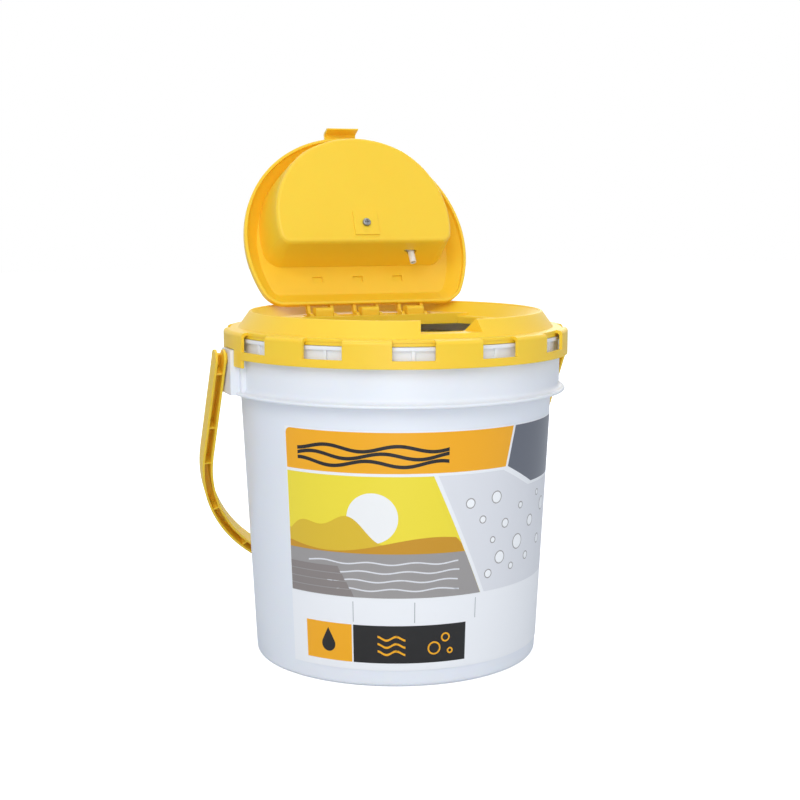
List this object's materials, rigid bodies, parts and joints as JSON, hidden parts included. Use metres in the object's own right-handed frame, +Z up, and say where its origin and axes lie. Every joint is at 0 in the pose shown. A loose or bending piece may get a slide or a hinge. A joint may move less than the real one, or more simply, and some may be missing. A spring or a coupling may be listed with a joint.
{
  "type": "aerated bait bucket",
  "caption": "Insulated bait pail with a push-on lid ring, a hinged hatch that carries a battery air pump, and a swinging bail handle.",
  "frame": {"origin": "middle of the pail's base, on the ground", "axes": "+Z up; -Y the front, where the latch notch is; +Y the hinge side; the hatch hinge and the bail both turn about X"},
  "size_m": [0.265, 0.2555, 0.3775],
  "materials": {
    "pail_white": "smooth moulded polyethylene",
    "foam": "expanded bead foam",
    "label_print": "printed film",
    "yellow_plastic": "satin moulded plastic",
    "white_plastic": "satin moulded plastic",
    "black_plastic": "moulded",
    "cell_jacket": "bare jacket of one colour",
    "nickel_strip": "nickel plated spring strip",
    "motor_steel": "drawn can",
    "grey_plastic": "moulded",
    "rubber": "moulded rubber",
    "soft_tube": "soft vinyl",
    "screw_steel": "zinc plated",
    "red_wire": "insulated wire",
    "black_wire": "insulated wire"
  },
  "bodies": {
    "pail_body": {"pail": "pail_white", "foam_liner": "foam", "label": "label_print"},
    "ring": {"lid_ring": "yellow_plastic"},
    "hatch_body": {"hatch": "yellow_plastic", "aerator_base": "white_plastic", "aerator_cover": "white_plastic", "switch_housing": "black_plastic", "battery_cells": "cell_jacket", "contact_springs": "nickel_strip", "contact_plates": "nickel_strip", "motor": "motor_steel", "pump_body": "grey_plastic", "pump_diaphragm": "rubber", "pump_head": "grey_plastic", "air_tube": "soft_tube", "outlet_nipple": "white_plastic", "cover_screws": "screw_steel", "retaining_screw": "screw_steel", "red_lead": "red_wire", "black_lead": "black_wire"},
    "battery_door": {"battery_cover": "white_plastic"},
    "rocker": {"rocker_switch": "black_plastic"},
    "rotor": {"motor_rotor": "motor_steel"},
    "bail": {"bail_handle": "yellow_plastic"}
  },
  "joints": [
    {"name": "ring_lift", "type": "slide", "parent": "pail_body", "child": "ring", "axis": [0, 0, 1], "range_m": [0, 0.06]},
    {"name": "hatch_hinge", "type": "hinge", "parent": "ring", "child": "hatch_body", "pos_m": [0, 0.06, 0.2355], "axis": [1, 0, 0], "range_deg": [0, 114.2]},
    {"name": "battery_cover_slide", "type": "slide", "parent": "hatch_body", "child": "battery_door", "axis": [0, 0.4147, 0.91], "range_m": [0, 0.03]},
    {"name": "rocker_pivot", "type": "hinge", "parent": "hatch_body", "child": "rocker", "pos_m": [-0.048, 0.09986, 0.27932], "axis": [0, 0.4147, 0.91], "range_deg": [0, 12]},
    {"name": "motor_spin", "type": "hinge", "parent": "hatch_body", "child": "rotor", "pos_m": [0.0465, 0.08859, 0.32138], "axis": [0, -0.4147, -0.91], "continuous": true},
    {"name": "bail_pivot", "type": "hinge", "parent": "pail_body", "child": "bail", "pos_m": [0, 0, 0.2145], "axis": [1, 0, 0], "range_deg": [0, 296.5]}
  ]
}
